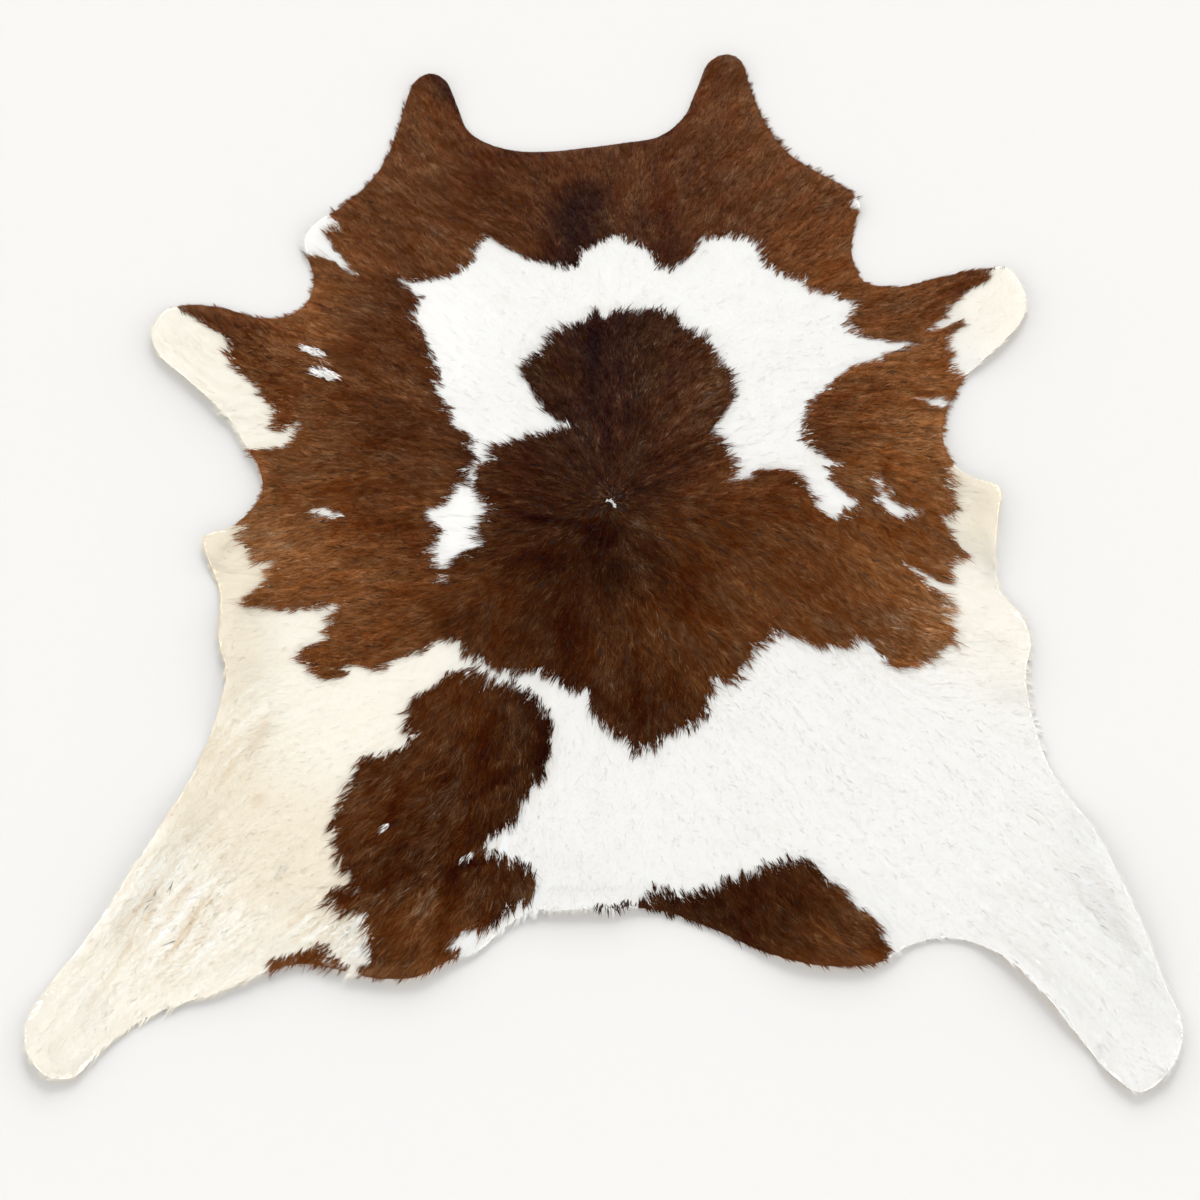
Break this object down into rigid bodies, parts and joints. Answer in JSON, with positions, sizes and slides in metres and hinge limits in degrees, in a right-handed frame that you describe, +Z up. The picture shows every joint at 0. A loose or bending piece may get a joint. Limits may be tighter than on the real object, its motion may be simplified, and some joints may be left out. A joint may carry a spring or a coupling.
{
  "type": "cowhide rug",
  "caption": "Whole tanned cowhide with its hair on, cut to the natural outline of neck, legs and tail head, lying flat as a floor rug with brown and white patches.",
  "frame": {"origin": "middle of the floor under the hide", "axes": "+Z up out of the hair side, +Y along the spine towards the neck, +X towards the hide's right as seen in the picture"},
  "size_m": [2.0039, 2.3618, 0.0165],
  "materials": {
    "brown_coat": "reddish to dark brown cow hair lying flat, with a soft sheen",
    "white_coat": "white to cream cow hair lying flat",
    "skin": "tanned suede underside and the skin under the hair"
  },
  "bodies": {
    "root": {"hide": "brown_coat"}
  },
  "joints": []
}
